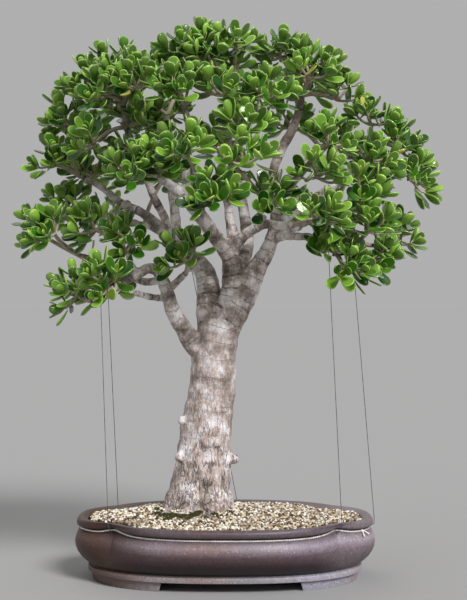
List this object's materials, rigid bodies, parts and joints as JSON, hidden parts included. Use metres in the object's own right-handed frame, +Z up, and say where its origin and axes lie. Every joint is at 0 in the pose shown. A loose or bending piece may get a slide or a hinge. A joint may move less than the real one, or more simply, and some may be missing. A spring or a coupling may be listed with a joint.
{
  "type": "jade plant bonsai in a lobed oval pot",
  "caption": "Broad-crowned jade plant trained as a bonsai on a leaning, forking trunk, in a shallow lobed oval stoneware pot of gravel, with guy wires from the limbs to a string round the pot",
  "frame": {"origin": "on the table under the middle of the pot, which is also under the middle of the whole plant's bounding box", "axes": "+X along the pot to the viewer's right, +Y to the back, +Z up"},
  "size_m": [0.7537, 0.539, 0.962],
  "materials": {
    "stoneware": "unglazed purple-brown stoneware, fine speckle, slight sheen",
    "gravel": "tan, cream and brown grit over potting mix",
    "screen_plastic": "black plastic mesh",
    "bark": "pale grey-beige succulent bark, fine cracks and ring scars",
    "leaf": "glossy thick green succulent leaf, paler rim",
    "string": "off-white twisted string",
    "wire": "dull dark wire"
  },
  "bodies": {
    "root": {"pot": "stoneware", "gravel_bed": "gravel", "drain_screen_left": "screen_plastic", "drain_screen_right": "screen_plastic", "trunk": "bark", "rim_string": "string", "guy_wire_1": "wire", "guy_wire_2": "wire", "guy_wire_3": "wire", "guy_wire_4": "wire", "guy_wire_5": "wire", "spray_01": "leaf", "spray_02": "leaf", "spray_03": "leaf", "spray_04": "leaf", "spray_05": "leaf", "spray_06": "leaf", "spray_07": "leaf", "spray_08": "leaf", "spray_09": "leaf", "spray_10": "leaf", "spray_11": "leaf", "spray_12": "leaf", "spray_13": "leaf", "spray_14": "leaf", "spray_15": "leaf", "spray_16": "leaf", "spray_17": "leaf", "spray_18": "leaf", "spray_19": "leaf", "spray_20": "leaf", "spray_21": "leaf", "spray_22": "leaf", "spray_23": "leaf", "spray_24": "leaf", "spray_25": "leaf", "spray_26": "leaf", "spray_27": "leaf", "spray_28": "leaf", "spray_29": "leaf", "spray_30": "leaf", "spray_31": "leaf", "spray_32": "leaf", "spray_33": "leaf", "spray_34": "leaf", "spray_35": "leaf", "spray_36": "leaf", "spray_37": "leaf", "spray_38": "leaf", "spray_39": "leaf", "spray_40": "leaf", "spray_41": "leaf", "spray_42": "leaf", "spray_43": "leaf", "spray_44": "leaf", "spray_45": "leaf", "spray_46": "leaf", "spray_47": "leaf", "spray_48": "leaf", "spray_49": "leaf"}
  },
  "joints": []
}
